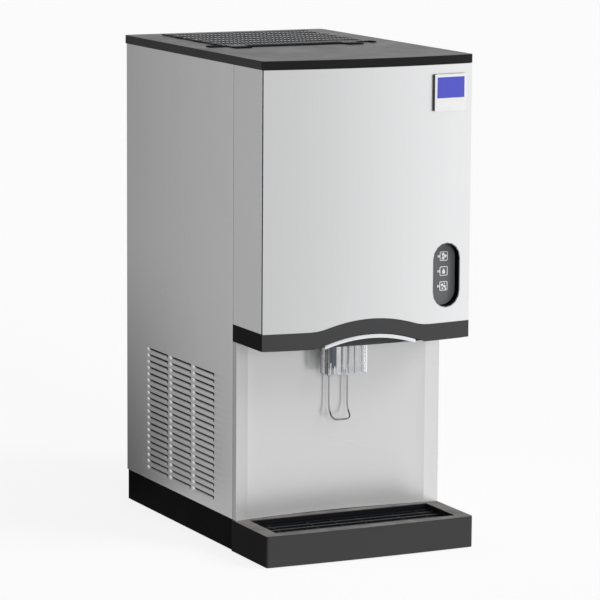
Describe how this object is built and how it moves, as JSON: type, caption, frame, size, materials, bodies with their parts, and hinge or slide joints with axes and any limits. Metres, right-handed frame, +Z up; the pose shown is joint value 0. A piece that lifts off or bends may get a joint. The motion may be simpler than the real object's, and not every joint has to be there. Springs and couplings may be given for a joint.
{
  "type": "countertop ice dispenser",
  "caption": "Tall bowed-front countertop dispenser with a wave-edged band, clear ice chute, wire lever, keys, louvred side and slatted drip tray.",
  "frame": {"origin": "centre of the overall footprint, on the counter", "axes": "the front and the drip tray face -Y, +X is to the right seen from the front, +Z is up"},
  "size_m": [0.4128, 0.6398, 0.8919],
  "materials": {
    "stainless": "brushed stainless sheet",
    "dark_plastic": "satin charcoal",
    "black_plastic": "satin black",
    "black_paint": "semi-gloss black",
    "bright_trim": "bright",
    "clear_plastic": "clear",
    "steel": "plain",
    "white_plastic": "white",
    "rubber": "matte",
    "copper": "bright copper",
    "brass": "plain",
    "cast_metal": "cast",
    "fin_metal": "finned",
    "circuit_board": "green board"
  },
  "bodies": {
    "housing": {"left_side_panel": "stainless", "right_side_panel": "stainless", "rear_panel": "stainless", "left_cheek": "stainless", "right_cheek": "stainless", "front_panel": "stainless", "splash_panel": "stainless", "band_trim": "dark_plastic", "top_cover": "dark_plastic", "drip_tray": "dark_plastic", "control_panel": "dark_plastic", "base_pan": "black_plastic", "ceiling_plate": "black_plastic", "cord_gland": "black_plastic", "micro_switch": "black_plastic", "compressor": "black_paint", "arc_strip": "bright_trim", "ice_chute": "clear_plastic", "water_nozzle": "clear_plastic", "lever_bracket": "steel", "chassis_shelf": "steel", "electrical_box": "steel", "fan_shroud": "steel", "fan_motor": "steel", "dispense_motor": "steel", "extruder_head": "steel", "badge_plate": "white_plastic", "ice_bin": "white_plastic", "bin_lid": "white_plastic", "evaporator_barrel": "white_plastic", "ice_transfer_tube": "white_plastic", "water_reservoir": "white_plastic", "drain_pipe": "white_plastic", "water_line": "white_plastic", "left_foot_runner": "rubber", "right_foot_runner": "rubber", "compressor_mount": "rubber", "filter_drier": "copper", "discharge_line": "copper", "liquid_line": "copper", "suction_line": "copper", "water_inlet": "brass", "float_valve": "brass", "auger_gearmotor": "cast_metal", "condenser_coil": "fin_metal", "key_board": "circuit_board", "control_board": "circuit_board"},
    "lever": {"lever_hub": "black_plastic", "wire_lever": "steel"},
    "plunger": {"switch_plunger": "white_plastic"},
    "ice_key": {"key_ice": "dark_plastic"},
    "water_key": {"key_water": "dark_plastic"},
    "both_key": {"key_both": "dark_plastic"},
    "tray_grille": {"drip_grille": "black_plastic"},
    "vent_grille": {"top_grille": "black_plastic"},
    "fan": {"fan_blades": "black_plastic"},
    "screw": {"auger": "steel"},
    "wheel": {"dispense_wheel": "white_plastic"},
    "float": {"float_arm": "white_plastic"}
  },
  "joints": [
    {"name": "lever_swing", "type": "hinge", "parent": "housing", "child": "lever", "pos_m": [0, -0.1787, 0.4], "axis": [1, 0, 0], "range_deg": [0, 4], "stiffness_Nm_per_rad": 1.5, "springref_deg": -3.44},
    {"name": "plunger_slide", "type": "slide", "parent": "housing", "child": "plunger", "axis": [0, 0, 1], "range_m": [0, 0.0013]},
    {"name": "ice_key_press", "type": "slide", "parent": "housing", "child": "ice_key", "axis": [0, 1, 0], "range_m": [0, 0.001], "stiffness_N_per_m": 600, "springref_m": -0.001},
    {"name": "water_key_press", "type": "slide", "parent": "housing", "child": "water_key", "axis": [0, 1, 0], "range_m": [0, 0.001], "stiffness_N_per_m": 600, "springref_m": -0.001},
    {"name": "both_key_press", "type": "slide", "parent": "housing", "child": "both_key", "axis": [0, 1, 0], "range_m": [0, 0.001], "stiffness_N_per_m": 600, "springref_m": -0.001},
    {"name": "tray_grille_lift", "type": "slide", "parent": "housing", "child": "tray_grille", "axis": [0, 0, 1], "range_m": [0, 0.06]},
    {"name": "vent_grille_lift", "type": "slide", "parent": "housing", "child": "vent_grille", "axis": [0, 0, 1], "range_m": [0, 0.05]},
    {"name": "fan_spin", "type": "hinge", "parent": "housing", "child": "fan", "pos_m": [-0.13078, 0.05628, 0.162], "axis": [1, 0, 0], "continuous": true},
    {"name": "screw_spin", "type": "hinge", "parent": "housing", "child": "screw", "pos_m": [0.11797, 0.15031, 0.28], "axis": [0, 0, 1], "continuous": true},
    {"name": "wheel_spin", "type": "hinge", "parent": "housing", "child": "wheel", "pos_m": [0, -0.11371, 0.47], "axis": [0, 0, 1], "continuous": true},
    {"name": "float_swing", "type": "hinge", "parent": "housing", "child": "float", "pos_m": [-0.131, 0.1583, 0.523], "axis": [-1, 0, 0], "range_deg": [0, 20]}
  ],
  "couplings": [
    {"joint": "plunger_slide", "follows": "lever_swing", "m_per_rad": 0.016}
  ]
}
